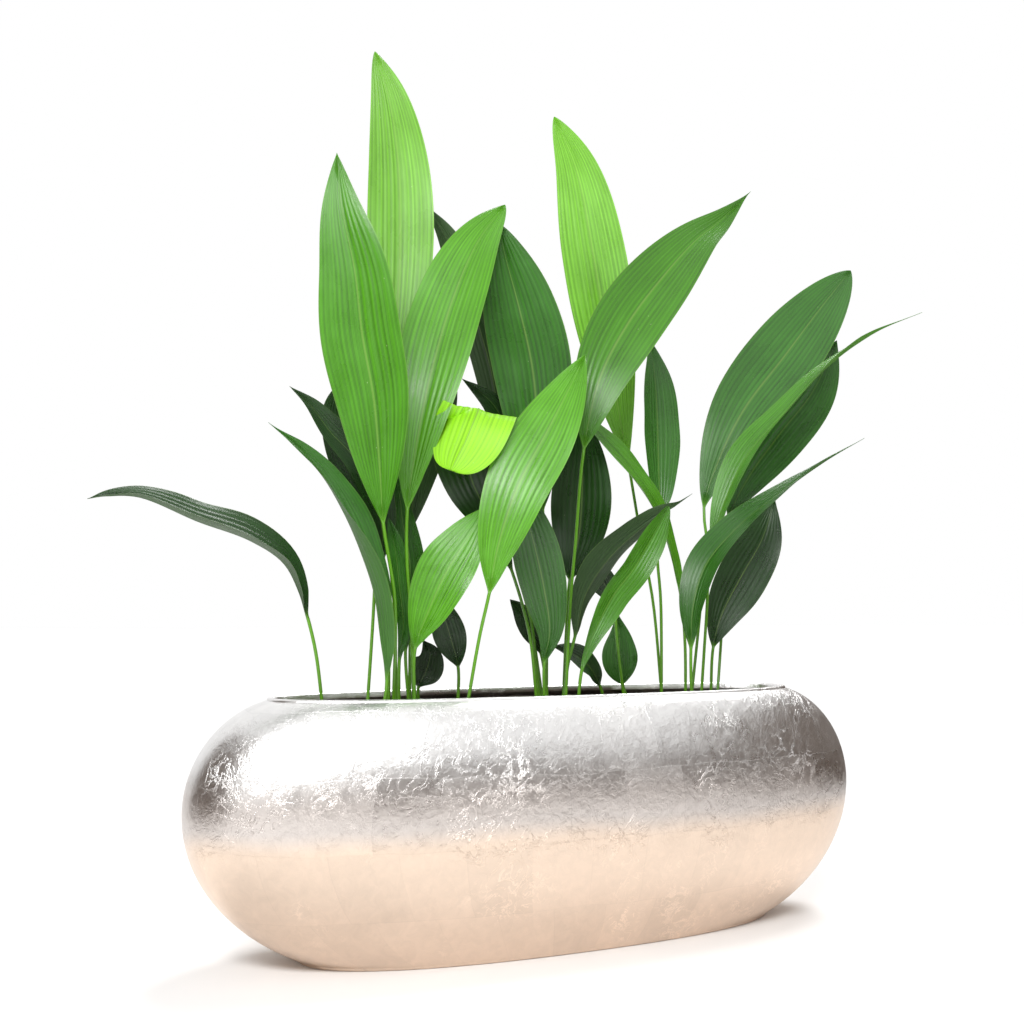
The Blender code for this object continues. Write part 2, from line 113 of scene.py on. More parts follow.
Leaf = namedtuple(
    "Leaf",
    "root stalk blade width widest facing fold twist tip_twist",
    defaults=(0, 0),
)

# Each row: where it stands in the soil, then points up its stalk and along its blade to the tip. facing is
# the compass direction of the upper side at the stalk, in degrees from +X towards +Y. fold is how far each
# half of the blade rises, and twist and tip_twist turn it on the way up and near its tip, in degrees.
LEAVES = {
    "left_leaf_01": Leaf(
        root=(-0.295, 0),
        stalk=[(-0.305, 0, 0.35), (-0.315, 0, 0.39)],
        blade=[
            (-0.325, 0, 0.42), (-0.345, 0, 0.455), (-0.385, 0, 0.48), (-0.445, 0, 0.5),
            (-0.51, 0, 0.525), (-0.545, 0, 0.525), (-0.565, 0, 0.52),
        ],
        width=0.065, widest=0.45, facing=-30, fold=30,
    ),
    "left_leaf_02": Leaf(
        root=(-0.22, -0.03),
        stalk=[(-0.225, -0.045, 0.41), (-0.24, -0.045, 0.5)],
        blade=[
            (-0.245, -0.045, 0.565), (-0.255, -0.05, 0.645), (-0.27, -0.05, 0.72), (-0.28, -0.05, 0.795),
            (-0.295, -0.045, 0.87), (-0.3, -0.04, 0.935),
        ],
        width=0.098, widest=0.48, facing=-125, fold=10,
    ),
    "left_leaf_03": Leaf(
        root=(-0.23, 0.03),
        stalk=[(-0.22, 0.04, 0.385), (-0.21, 0.05, 0.51), (-0.195, 0.055, 0.615)],
        blade=[
            (-0.185, 0.06, 0.745), (-0.18, 0.06, 0.86), (-0.185, 0.055, 0.97), (-0.2, 0.05, 1.05),
            (-0.22, 0.05, 1.11),
        ],
        width=0.086, widest=0.55, facing=-105, fold=8,
    ),
    "left_leaf_04": Leaf(
        root=(-0.245, -0.06),
        stalk=[(-0.24, -0.06, 0.32)],
        blade=[
            (-0.245, -0.055, 0.365), (-0.25, -0.045, 0.42), (-0.26, -0.03, 0.465), (-0.275, -0.015, 0.51),
            (-0.3, 0, 0.56), (-0.325, 0.01, 0.59), (-0.36, 0.02, 0.62),
        ],
        width=0.068, widest=0.4, facing=-5, fold=35, twist=-80,
    ),
    "left_leaf_05": Leaf(
        root=(-0.19, -0.02),
        stalk=[(-0.195, -0.02, 0.4), (-0.2, -0.02, 0.46), (-0.2, -0.02, 0.52)],
        blade=[
            (-0.19, -0.015, 0.58), (-0.17, -0.009, 0.67), (-0.13, 0.01, 0.785), (-0.09, 0.02, 0.87),
            (-0.045, 0.03, 0.93),
        ],
        width=0.095, widest=0.55, facing=-125, fold=15,
    ),
    "left_leaf_06": Leaf(
        root=(-0.21, 0.01),
        stalk=[(-0.21, 0.015, 0.39), (-0.215, 0.02, 0.46)],
        blade=[
            (-0.22, 0.02, 0.515), (-0.25, 0.02, 0.58), (-0.285, 0.02, 0.615), (-0.31, 0.02, 0.645),
            (-0.335, 0.02, 0.665),
        ],
        width=0.055, widest=0.45, facing=-75, fold=25,
    ),
    "left_leaf_07": Leaf(
        root=(-0.185, 0.05),
        stalk=[(-0.185, 0.06, 0.415), (-0.195, 0.07, 0.5)],
        blade=[(-0.215, 0.07, 0.55), (-0.24, 0.07, 0.6), (-0.255, 0.07, 0.645), (-0.25, 0.07, 0.69)],
        width=0.075, widest=0.5, facing=-85, fold=10,
    ),
    "left_leaf_08": Leaf(
        root=(-0.18, 0.02),
        stalk=[(-0.185, 0.02, 0.35)],
        blade=[
            (-0.18, 0.02, 0.415), (-0.18, 0.02, 0.46), (-0.19, 0.02, 0.51), (-0.195, 0.02, 0.545),
            (-0.205, 0.02, 0.58),
        ],
        width=0.045, widest=0.5, facing=-135, fold=15,
    ),
    "left_leaf_09": Leaf(
        root=(-0.205, -0.01),
        stalk=[(-0.205, -0.01, 0.34)],
        blade=[
            (-0.2, -0.01, 0.385), (-0.205, -0.01, 0.425), (-0.21, -0.01, 0.465), (-0.22, -0.01, 0.51),
        ],
        width=0.03, widest=0.55, facing=-85, fold=20,
    ),
    "left_leaf_10": Leaf(
        root=(-0.195, -0.035),
        stalk=[(-0.195, -0.035, 0.355)],
        blade=[
            (-0.18, -0.04, 0.4), (-0.16, -0.045, 0.445), (-0.135, -0.05, 0.485), (-0.11, -0.05, 0.525),
        ],
        width=0.07, widest=0.5, facing=-130, fold=12,
    ),
    "left_leaf_11": Leaf(
        root=(-0.155, 0.05),
        stalk=[(-0.155, 0.05, 0.305)],
        blade=[(-0.145, 0.05, 0.325), (-0.14, 0.05, 0.345), (-0.15, 0.05, 0.365)],
        width=0.042, widest=0.4, facing=-115, fold=10,
    ),
    "left_leaf_12": Leaf(
        root=(-0.11, 0.03),
        stalk=[(-0.11, 0.03, 0.33)],
        blade=[(-0.12, 0.03, 0.365), (-0.13, 0.03, 0.395), (-0.14, 0.03, 0.425)],
        width=0.042, widest=0.45, facing=-115, fold=10,
    ),
    "left_leaf_13": Leaf(
        root=(-0.175, 0.03),
        stalk=[(-0.175, 0.03, 0.4), (-0.175, 0.03, 0.5)],
        blade=[
            (-0.165, 0.035, 0.565), (-0.145, 0.04, 0.62), (-0.12, 0.045, 0.67), (-0.105, 0.05, 0.715),
        ],
        width=0.05, widest=0.45, facing=65, fold=12,
    ),
    "middle_leaf_01": Leaf(
        root=(0.025, 0.06),
        stalk=[(0.015, 0.08, 0.415), (-0.005, 0.085, 0.575)],
        blade=[
            (-0.025, 0.08, 0.64), (-0.04, 0.08, 0.72), (-0.07, 0.08, 0.81), (-0.105, 0.08, 0.89),
            (-0.135, 0.08, 0.93),
        ],
        width=0.06, widest=0.5, facing=35, fold=10,
    ),
    "middle_leaf_02": Leaf(
        root=(0.01, 0.02),
        stalk=[(0.01, 0.02, 0.415), (0.005, 0.02, 0.53)],
        blade=[
            (0, 0.02, 0.61), (-0.01, 0.02, 0.715), (-0.03, 0.02, 0.795), (-0.05, 0.02, 0.86),
            (-0.06, 0.02, 0.9),
        ],
        width=0.105, widest=0.55, facing=-120, fold=10,
    ),
    "middle_leaf_03": Leaf(
        root=(0.01, -0.03),
        stalk=[(0.02, -0.025, 0.41), (0.025, -0.03, 0.485), (0.035, -0.035, 0.605)],
        blade=[
            (0.06, -0.035, 0.7), (0.105, -0.03, 0.775), (0.165, -0.02, 0.845), (0.23, -0.01, 0.91),
            (0.275, -0.005, 0.945), (0.33, 0, 0.995),
        ],
        width=0.095, widest=0.42, facing=-115, fold=10, tip_twist=65,
    ),
    "middle_leaf_04": Leaf(
        root=(-0.145, -0.072),
        stalk=[(-0.13, -0.075, 0.37), (-0.12, -0.08, 0.42)],
        blade=[
            (-0.11, -0.08, 0.47), (-0.085, -0.083, 0.545), (-0.04, -0.079, 0.62), (0, -0.07, 0.685),
            (0.02, -0.065, 0.72),
        ],
        width=0.084, widest=0.5, facing=-125, fold=12,
    ),
    "middle_leaf_05": Leaf(
        root=(0.025, 0),
        stalk=[(0.03, 0, 0.33), (0.04, 0, 0.365)],
        blade=[
            (0.055, 0, 0.42), (0.085, -0.005, 0.465), (0.12, -0.015, 0.5), (0.15, -0.03, 0.525),
            (0.175, -0.033, 0.54), (0.2, -0.035, 0.555),
        ],
        width=0.06, widest=0.4, facing=120, fold=12, tip_twist=60,
    ),
    "middle_leaf_06": Leaf(
        root=(0.005, -0.07),
        stalk=[(0.01, -0.07, 0.325)],
        blade=[
            (0.02, -0.07, 0.355), (0.035, -0.07, 0.385), (0.06, -0.065, 0.42), (0.09, -0.06, 0.45),
            (0.115, -0.06, 0.485), (0.15, -0.055, 0.535),
        ],
        width=0.045, widest=0.6, facing=-85, fold=20,
    ),
    "middle_leaf_07": Leaf(
        root=(0.04, 0.03),
        stalk=[(0.045, 0.03, 0.38), (0.05, 0.03, 0.44)],
        blade=[(0.065, 0.03, 0.505), (0.07, 0.03, 0.575), (0.07, 0.03, 0.625), (0.065, 0.03, 0.685)],
        width=0.082, widest=0.42, facing=-125, fold=12,
    ),
    "middle_leaf_08": Leaf(
        root=(-0.02, -0.03),
        stalk=[(-0.02, -0.03, 0.335)],
        blade=[
            (-0.015, -0.035, 0.375), (-0.025, -0.04, 0.425), (-0.04, -0.045, 0.475), (-0.055, -0.05, 0.515),
            (-0.07, -0.05, 0.555),
        ],
        width=0.062, widest=0.55, facing=-115, fold=15,
    ),
    "middle_leaf_09": Leaf(
        root=(-0.015, 0),
        stalk=[(-0.025, 0, 0.37), (-0.05, 0, 0.45)],
        blade=[
            (-0.08, 0, 0.515), (-0.105, 0, 0.56), (-0.115, 0, 0.605), (-0.12, -0.03, 0.63),
            (-0.115, -0.04, 0.645), (-0.125, -0.05, 0.63), (-0.14, -0.055, 0.6), (-0.16, -0.06, 0.565),
        ],
        width=0.096, widest=0.72, facing=-115, fold=8,
    ),
    "middle_leaf_10": Leaf(
        root=(0.025, 0.045),
        stalk=[(0.015, 0.045, 0.345)],
        blade=[(0, 0.045, 0.375), (-0.015, 0.045, 0.4), (-0.03, 0.045, 0.415)],
        width=0.028, widest=0.5, facing=-115, fold=10,
    ),
    "middle_leaf_11": Leaf(
        root=(0.115, 0.055),
        stalk=[(0.11, 0.055, 0.3)],
        blade=[(0.095, 0.055, 0.325), (0.065, 0.055, 0.345), (0.035, 0.055, 0.355)],
        width=0.045, widest=0.4, facing=-55, fold=10,
    ),
    "middle_leaf_12": Leaf(
        root=(0.16, 0.07),
        stalk=[(0.155, 0.07, 0.3)],
        blade=[(0.15, 0.07, 0.335), (0.15, 0.07, 0.37), (0.145, 0.07, 0.405)],
        width=0.05, widest=0.35, facing=-115, fold=10,
    ),
    "middle_leaf_13": Leaf(
        root=(0.135, 0.035),
        stalk=[(0.125, 0.035, 0.36), (0.12, 0.035, 0.41)],
        blade=[(0.11, 0.035, 0.43), (0.095, 0.035, 0.45), (0.08, 0.035, 0.47)],
        width=0.035, widest=0.5, facing=-115, fold=10,
    ),
    "middle_leaf_14": Leaf(
        root=(0.005, 0.03),
        stalk=[(-0.005, 0.035, 0.39), (-0.015, 0.04, 0.43), (-0.015, 0.05, 0.57)],
        blade=[(-0.03, 0.055, 0.635), (-0.05, 0.055, 0.67), (-0.095, 0.055, 0.7)],
        width=0.035, widest=0.45, facing=-115, fold=10,
    ),
    "right_leaf_01": Leaf(
        root=(0.205, 0.05),
        stalk=[(0.195, 0.055, 0.415), (0.18, 0.06, 0.5), (0.16, 0.06, 0.605)],
        blade=[
            (0.145, 0.06, 0.675), (0.125, 0.06, 0.785), (0.105, 0.06, 0.895), (0.08, 0.06, 1.005),
            (0.045, 0.06, 1.075),
        ],
        width=0.09, widest=0.55, facing=-115, fold=10,
    ),
    "right_leaf_02": Leaf(
        root=(0.21, 0),
        stalk=[(0.21, 0, 0.355), (0.205, 0, 0.415)],
        blade=[
            (0.19, 0, 0.475), (0.165, 0, 0.535), (0.12, 0, 0.59), (0.07, 0, 0.635),
            (0.05, 0.01, 0.665),
        ],
        width=0.05, widest=0.6, facing=-55, fold=20,
    ),
    "right_leaf_03": Leaf(
        root=(0.185, 0.02),
        stalk=[(0.185, 0.02, 0.415), (0.18, 0.02, 0.48), (0.185, 0.02, 0.525)],
        blade=[(0.19, 0.03, 0.595), (0.195, 0.04, 0.665), (0.195, 0.045, 0.725), (0.19, 0.05, 0.78)],
        width=0.075, widest=0.5, facing=-80, fold=15,
    ),
    "right_leaf_04": Leaf(
        root=(0.24, 0.03),
        stalk=[(0.265, 0.04, 0.415), (0.275, 0.04, 0.5), (0.275, 0.045, 0.545)],
        blade=[
            (0.305, 0.05, 0.615), (0.35, 0.05, 0.69), (0.425, 0.05, 0.775), (0.495, 0.05, 0.855),
            (0.555, 0.05, 0.92),
        ],
        width=0.11, widest=0.55, facing=-125, fold=10,
    ),
    "right_leaf_05": Leaf(
        root=(0.29, 0.04),
        stalk=[(0.315, 0.06, 0.39), (0.335, 0.08, 0.47), (0.35, 0.09, 0.535)],
        blade=[(0.385, 0.09, 0.595), (0.445, 0.09, 0.665), (0.51, 0.09, 0.735), (0.56, 0.09, 0.82)],
        width=0.09, widest=0.5, facing=-125, fold=10,
    ),
    "right_leaf_06": Leaf(
        root=(0.235, 0),
        stalk=[(0.245, 0, 0.39), (0.255, 0, 0.49)],
        blade=[
            (0.275, -0.005, 0.55), (0.31, -0.01, 0.615), (0.37, -0.02, 0.68), (0.44, -0.03, 0.75),
            (0.525, -0.03, 0.805), (0.62, -0.03, 0.845),
        ],
        width=0.055, widest=0.3, facing=-165, fold=25, twist=-30,
    ),
    "right_leaf_07": Leaf(
        root=(0.185, -0.05),
        stalk=[(0.185, -0.05, 0.35)],
        blade=[
            (0.19, -0.05, 0.41), (0.21, -0.05, 0.46), (0.26, -0.05, 0.51), (0.325, -0.05, 0.555),
            (0.405, -0.05, 0.605), (0.485, -0.05, 0.645),
        ],
        width=0.055, widest=0.33, facing=-145, fold=20, twist=-40,
    ),
    "right_leaf_08": Leaf(
        root=(0.265, 0.02),
        stalk=[(0.27, 0.02, 0.35)],
        blade=[(0.285, 0.02, 0.395), (0.32, 0.02, 0.45), (0.355, 0.02, 0.5), (0.38, 0.02, 0.56)],
        width=0.075, widest=0.5, facing=-105, fold=10,
    ),
}

# The leaves of each shade of green. Besides each leaf's own green, the shades hold painted light and shade,
# set by how lit each leaf is: pale is a painted sheen, and the darkest greens are painted shade. All the
# others are the dark ones.
LEAF_SHADES = {
    "bright": ["left_leaf_05", "left_leaf_10", "middle_leaf_04", "right_leaf_02"],
    "pale": ["left_leaf_03", "right_leaf_01"],
    "fresh": ["left_leaf_02", "middle_leaf_03", "middle_leaf_06", "right_leaf_06"],
    "deep": [
        "middle_leaf_02", "left_leaf_04", "left_leaf_09", "middle_leaf_08", "right_leaf_07", "left_leaf_08",
    ],
    "matt": ["right_leaf_03", "right_leaf_04", "right_leaf_05", "middle_leaf_12"],
    "folded": ["middle_leaf_09"],
}


def shade_of(name):
    for shade, names in LEAF_SHADES.items():
        if name in names:
            return shade
    return "dark"


# Settings


def length(name, description, default):
    return bpy.props.FloatProperty(
        name=name, description=description, default=default, min=0.0, unit="LENGTH"
    )


def colour(name, description, default):
    return bpy.props.FloatVectorProperty(
        name=name, description=description, default=default, size=3, min=0.0, max=1.0, subtype="COLOR"
    )


def factor(name, description, default):
    return bpy.props.FloatProperty(
        name=name, description=description, default=default, min=0.0, max=1.0, subtype="FACTOR"
    )


class PlanterSettings(bpy.types.PropertyGroup):
    leaf_square: length("Leaf square", "Side of each square of silver leaf", 0.078)
    crinkle: length("Crinkle", "Height of the creases in the silver leaf", 0.0011)
    roughness: factor("Roughness", "How dull the silver leaf is", 0.30)
    upper_colour: colour("Upper half", "Colour of the silver above the waist", (0.86, 0.85, 0.84))
    # The waist and lower colours are painted reflections: a darker band of the surroundings round the waist,
    # and the warm floor below it.
    waist_reflection_colour: colour("Waist", "Colour of the toned silver round the waist", (0.60, 0.55, 0.52))
    lower_reflection_colour: colour("Lower half", "Colour of the warm silver below the waist", (0.74, 0.60, 0.49))


class SoilSettings(bpy.types.PropertyGroup):
    lump_height: length("Lump height", "How far the lumps of soil rise", 0.003)
    colour: colour("Colour", "Colour of the moist soil", (0.035, 0.022, 0.014))


class LeafSettings(bpy.types.PropertyGroup):
    web_thickness: length("Blade thickness", "Thickness of a blade between its ribs", 0.0006)
    midrib_thickness: length("Midrib thickness", "Thickness of the rib along the middle", 0.0019)
    pleat_height: length("Pleat height", "Height of the long pleats of a blade", 0.0004)
    wave_height: length("Wave height", "How far the edges of a blade wave", 0.0022)
    pleats: bpy.props.IntProperty(
        name="Pleats", description="Pleats in each half of a blade", default=5, min=1
    )
    roughness: factor("Roughness", "How dull the upper side is", 0.30)
    # Leaf greens: partly each leaf's own colour and partly painted light and shade; pale is a painted sheen
    # and dark a painted shade.
    bright: colour("Bright", "Green of the young leaves", (0.062, 0.235, 0.003))
    pale: colour("Pale", "Green of the palest leaves", (0.125, 0.345, 0.022))
    fresh: colour("Fresh", "Green of the full-grown leaves", (0.040, 0.170, 0.001))
    deep: colour("Deep", "Green of the older leaves", (0.016, 0.095, 0.001))
    matt: colour("Matt", "Green of the duller leaves", (0.028, 0.120, 0.010))
    dark: colour("Dark", "Green of the oldest leaves", (0.007, 0.038, 0.002))
    folded: colour("Folded", "Green of the leaf whose tip folds over", (0.007, 0.038, 0.001))
    # The folded tip's bright yellow green is painted light shining through the leaf.
    backlit_folded_tip: colour("Folded tip", "Green of that leaf's tip", (0.22, 0.54, 0.004))
    stalk: colour("Stalk", "Green of the stalks", (0.10, 0.29, 0.010))


class StageSettings(bpy.types.PropertyGroup):
    floor_colour: colour("Floor", "Colour of the floor", (0.93, 0.925, 0.92))
    card_colour: colour("Dark cards", "Colour of the cards in reflections", (0.10, 0.075, 0.06))
    key_strength: bpy.props.FloatProperty(
        name="Key light", description="Strength of the high lamp behind the right end", default=2.1, min=0.0
    )
    front_power: bpy.props.FloatProperty(
        name="Front light", description="Power of the soft lamp in front", default=60.0, min=0.0, unit="POWER"
    )


def settings(kind):
    return getattr(bpy.context.scene, "plant_" + kind)


# Shapes


def signed_power(value, power):
    return math.copysign(abs(value) ** power, value)


def plan_ring(half_length, half_depth, height):
    """The planter's plan at one height: a superellipse, anticlockwise from +X seen from above."""
    ring = []
    for i in range(PLAN_POINTS):
        angle = 2 * math.pi * i / PLAN_POINTS
        x = half_length * signed_power(math.cos(angle), 2 / PLAN_POWER)
        y = half_depth * signed_power(math.sin(angle), 2 / PLAN_POWER)
        ring.append(Vector((x, y, height)))
    return ring


def inset_share(share, turn):
    """How far the side has turned in, from 0 at the waist to 1 at the end, share of the way up or down."""
    return (1 - math.sqrt(1 - (turn * share) ** 2)) / (1 - math.sqrt(1 - turn**2))


def side_rings(bottom, top, inward):
    """Rings from bottom to top that follow the side, moved inward by a distance."""
    rings = []
    for i in range(-SIDE_SPANS, SIDE_SPANS + 1):
        share = math.sin(math.pi / 2 * abs(i) / SIDE_SPANS)
        if i < 0:
            inset, end, ends = inset_share(share, LOWER_TURN), bottom, (BASE_LENGTH, BASE_DEPTH)
        else:
            inset, end, ends = inset_share(share, UPPER_TURN), top, (MOUTH_LENGTH, MOUTH_DEPTH)
        half_length = (WAIST_LENGTH - (WAIST_LENGTH - ends[0]) * inset) / 2 - inward
        half_depth = (WAIST_DEPTH - (WAIST_DEPTH - ends[1]) * inset) / 2 - inward
        rings.append(plan_ring(half_length, half_depth, WAIST_HEIGHT + (end - WAIST_HEIGHT) * share))
    return rings


def rim_rings():
    """The rounded edge of the mouth, from its outside over the top to its inside."""
    centre = WALL / 2
    rings = []
    for degrees in (20, 40, 60, 75, 90, 105, 120, 140, 160):
        out = centre * math.cos(math.radians(degrees)) - centre
        up = RIM_ROUND * math.sin(math.radians(degrees)) - RIM_ROUND
        rings.append(plan_ring(MOUTH_LENGTH / 2 + out, MOUTH_DEPTH / 2 + out, HEIGHT + up))
    return rings


def foot_rings():
    """The rounded edge between the flat base and the side."""
    rings = []
    for degrees in (0, 25, 50, 75):
        inward = BASE_EDGE * (1 - math.sin(math.radians(degrees)))
        up = BASE_EDGE * (1 - math.cos(math.radians(degrees)))
        rings.append(plan_ring(BASE_LENGTH / 2 - inward, BASE_DEPTH / 2 - inward, up))
    return rings


def soil_height(x):
    return SOIL_CREST - SOIL_FALL * abs(2 * x / MOUTH_LENGTH) ** 3


def curve_through(points):
    """Points along a smooth curve through the given ones."""
    padded = [2 * points[0] - points[1], *points, 2 * points[-1] - points[-2]]
    made = []
    for i in range(1, len(padded) - 2):
        before, start, end, after = padded[i - 1 : i + 3]
        knots = [0.0]
        for a, b in ((before, start), (start, end), (end, after)):
            knots.append(knots[-1] + math.sqrt((b - a).length))
        for step in range(CURVE_STEPS):
            at = knots[1] + (knots[2] - knots[1]) * step / CURVE_STEPS
            first = before.lerp(start, at / knots[1])
            middle = start.lerp(end, (at - knots[1]) / (knots[2] - knots[1]))
            last = end.lerp(after, (at - knots[2]) / (knots[3] - knots[2]))
            low = first.lerp(middle, at / knots[2])
            high = middle.lerp(last, (at - knots[1]) / (knots[3] - knots[1]))
            made.append(low.lerp(high, (at - knots[1]) / (knots[2] - knots[1])))
    made.append(points[-1].copy())
    return made


def spaced(curve, shares):
    """Points at the given shares of the curve's length."""
    points = np.array([tuple(point) for point in curve])
    steps = np.linalg.norm(np.diff(points, axis=0), axis=1)
    lengths = np.concatenate([[0.0], np.cumsum(steps)])
    wanted = np.array(shares) * lengths[-1]
    return [Vector([float(np.interp(w, lengths, points[:, axis])) for axis in range(3)]) for w in wanted]


def half_width(leaf, share):
    """Half the blade's width, share of the way from its stalk to its tip."""
    tip_taper = BASE_TAPER * (1 - leaf.widest) / leaf.widest
    shape = share**BASE_TAPER * max(0.0, 1 - share) ** tip_taper
    fullest = leaf.widest**BASE_TAPER * (1 - leaf.widest) ** tip_taper
    return leaf.width / 2 * shape / fullest


def section(point, side, up, half, radius, leafy, fold, wave):
    """Points round a stalk or a blade: over the upper side from edge to edge, then back under it."""
    made = settings("leaf")
    ring = []
    for k in range(2 * ACROSS):
        over = k <= ACROSS
        across = 1 - 2 * k / ACROSS if over else -1 + 2 * (k - ACROSS) / ACROSS
        stalk_height = radius * math.sqrt(max(0.0, 1 - across**2))
        web = made.web_thickness / 2 * (1 - across**8)
        rib = made.midrib_thickness / 2 * math.exp(-((across * half / RIB_REACH) ** 2))
        blade_height = web + (0.0 if over else rib)
        groove = 0.6 * rib * math.cos(fold)
        pleat = made.pleat_height * math.cos(2 * math.pi * made.pleats * across) * (1 - across**2)
        lift = half * abs(across) ** 1.3 * math.sin(fold) + (pleat - groove + wave * across**3) * leafy
        height = stalk_height * (1 - leafy) + blade_height * leafy
        rise = lift + (height if over else -height)
        ring.append(point + side * (half * across * math.cos(fold)) + up * rise)
    return ring


def leaf_rings(name, leaf):
    """The sections of one leaf, and for each how far up the blade it is, below zero on the stalk."""
    seed = sum(map(ord, name)) * 0.37
    root = Vector((*leaf.root, soil_height(leaf.root[0])))
    stalk = [root, *map(Vector, leaf.stalk)]
    curve = curve_through([*stalk, *map(Vector, leaf.blade)])
    collar = (len(stalk) - 1) * CURVE_STEPS
    blade_shares = [0.5 - 0.5 * math.cos(math.pi * i / BLADE_SPANS) for i in range(BLADE_SPANS + 1)]
    points = spaced(curve[: collar + 1], [i / STALK_SPANS for i in range(STALK_SPANS + 1)])
    points += spaced(curve[collar:], blade_shares)[1:]
    up = Vector((math.cos(math.radians(leaf.facing)), math.sin(math.radians(leaf.facing)), 0))
    level_side = up.cross(Vector((0, 0, 1)))
    rings = []
    shares = []
    for base in (root - Vector((0, 0, PLANTED)), root):
        rings.append(section(base, level_side, up, STALK_RADIUS, STALK_RADIUS, 0, 0, 0))
        shares.append(-1.0)
    for i in range(1, len(points)):
        ahead = points[min(i + 1, len(points) - 1)]
        along = (ahead - points[i - 1]).normalized()
        up = (up - along * up.dot(along)).normalized()
        share = blade_shares[i - STALK_SPANS] if i > STALK_SPANS else 0.0
        end_share = max(0.0, (share - 0.75) / 0.25)
        spin = math.radians(leaf.twist * share + leaf.tip_twist * end_share**1.5)
        turned = up * math.cos(spin) + along.cross(up) * math.sin(spin)
        radius = STALK_RADIUS + (TIP_RADIUS - STALK_RADIUS) * share
        width = half_width(leaf, share)
        half = math.hypot(radius, width)
        leafy = min(1.0, width / LEAFY_WIDTH)
        fold = math.radians(leaf.fold) * min(1.0, share / 0.1)
        wave = settings("leaf").wave_height * 2 * noise.noise(Vector((share * 4.5, seed, 0.0)))
        rings.append(section(points[i], turned.cross(along), turned, half, radius, leafy, fold, wave))
        shares.append(share if i > STALK_SPANS else i / STALK_SPANS - 1)
    return rings, shares


def lofted(name, rings, materials, uv_at, slot_of=None):
    """One closed body through the rings. uv_at gives the UV of each place on each ring."""
    count = len(rings[0])
    faces = []
    corners = []
    slots = []
    for i in range(len(rings) - 1):
        for k in range(count):
            n = (k + 1) % count
            faces.append((i * count + k, i * count + n, (i + 1) * count + n, (i + 1) * count + k))
            corners += [uv_at(i, k), uv_at(i, k + 1), uv_at(i + 1, k + 1), uv_at(i + 1, k)]
            slots.append(slot_of(k) if slot_of else 0)
    last = (len(rings) - 1) * count
    faces.append(tuple(reversed(range(count))))
    corners += [uv_at(0, k) for k in reversed(range(count))]
    faces.append(tuple(range(last, last + count)))
    corners += [uv_at(len(rings) - 1, k) for k in range(count)]
    slots += [0, 0]
    mesh = bpy.data.meshes.new(name)
    mesh.from_pydata([tuple(point) for ring in rings for point in ring], [], faces)
    layer = mesh.uv_layers.new(name="UVMap")
    layer.data.foreach_set("uv", [value for corner in corners for value in corner])
    for material in materials:
        mesh.materials.append(material)
    mesh.polygons.foreach_set("material_index", slots)
    mesh.shade_smooth()
    mesh.set_sharp_from_angle(angle=SHARP_ANGLE)
    mesh.update()
    obj = bpy.data.objects.new(name, mesh)
    bpy.context.scene.collection.objects.link(obj)
    return obj


def hand_over(obj, node):
    """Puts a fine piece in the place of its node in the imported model."""
    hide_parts(node)
    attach(obj, "root")


# Materials


class Nodes:
    """Adds nodes to a tree and links their inputs."""

    def __init__(self, tree):
        self.tree = tree

    def add(self, kind, inputs=None, **options):
        made = self.tree.nodes.new(kind)
        for key, value in options.items():
            setattr(made, key, value)
        for key, value in (inputs or {}).items():
            if isinstance(value, bpy.types.NodeSocket):
                self.tree.links.new(value, made.inputs[key])
            else:
                made.inputs[key].default_value = value
        return made

    def math(self, operation, *values, clamp=False):
        inputs = dict(enumerate(values))
        return self.add("ShaderNodeMath", inputs, operation=operation, use_clamp=clamp).outputs[0]

    def plus(self, first, second):
        return self.math("ADD", first, second)

    def times(self, first, second):
        return self.math("MULTIPLY", first, second)

    def vector(self, operation, first, second=None):
        inputs = {0: first} if second is None else {0: first, 1: second}
        return self.add("ShaderNodeVectorMath", inputs, operation=operation).outputs[0]

    def point(self, x, y=0.0, z=0.0):
        return self.add("ShaderNodeCombineXYZ", {0: x, 1: y, 2: z}).outputs[0]

    def parts(self, vector):
        return self.add("ShaderNodeSeparateXYZ", {0: vector}).outputs

    def red(self, colour_value):
        return self.add("ShaderNodeSeparateColor", {0: colour_value}).outputs[0]

    def grey(self, tone):
        return self.add("ShaderNodeCombineColor", {0: tone, 1: tone, 2: tone}).outputs[0]

    def link(self, value, socket):
        self.tree.links.new(value, socket)

    def mix(self, share, first, second, blend="MIX"):
        inputs = {0: share, 6: first, 7: second}
        return self.add("ShaderNodeMix", inputs, data_type="RGBA", blend_type=blend).outputs[2]

    def span(self, value, low, high, to_low=0.0, to_high=1.0, kind="SMOOTHSTEP"):
        inputs = {0: value, 1: low, 2: high, 3: to_low, 4: to_high}
        return self.add("ShaderNodeMapRange", inputs, interpolation_type=kind).outputs[0]

    def noise(self, vector, scale, detail=3.0, roughness=0.5, distortion=0.0):
        inputs = {"Vector": vector, "Scale": scale, "Detail": detail, "Roughness": roughness}
        return self.add("ShaderNodeTexNoise", {**inputs, "Distortion": distortion}).outputs[0]

    def cells(self, vector, scale, feature="F1"):
        return self.add("ShaderNodeTexVoronoi", {"Vector": vector, "Scale": scale}, feature=feature).outputs


def new_group(name, inputs, outputs):
    """An empty node group with named sockets, the helper that fills it, and its two end nodes."""
    group = bpy.data.node_groups.new(name, "ShaderNodeTree")
    for label, kind, default in inputs:
        socket = group.interface.new_socket(label, in_out="INPUT", socket_type=kind)
        socket.default_value = default
    for label, kind in outputs:
        group.interface.new_socket(label, in_out="OUTPUT", socket_type=kind)
    make = Nodes(group)
    return group, make, make.add("NodeGroupInput").outputs, make.add("NodeGroupOutput").inputs


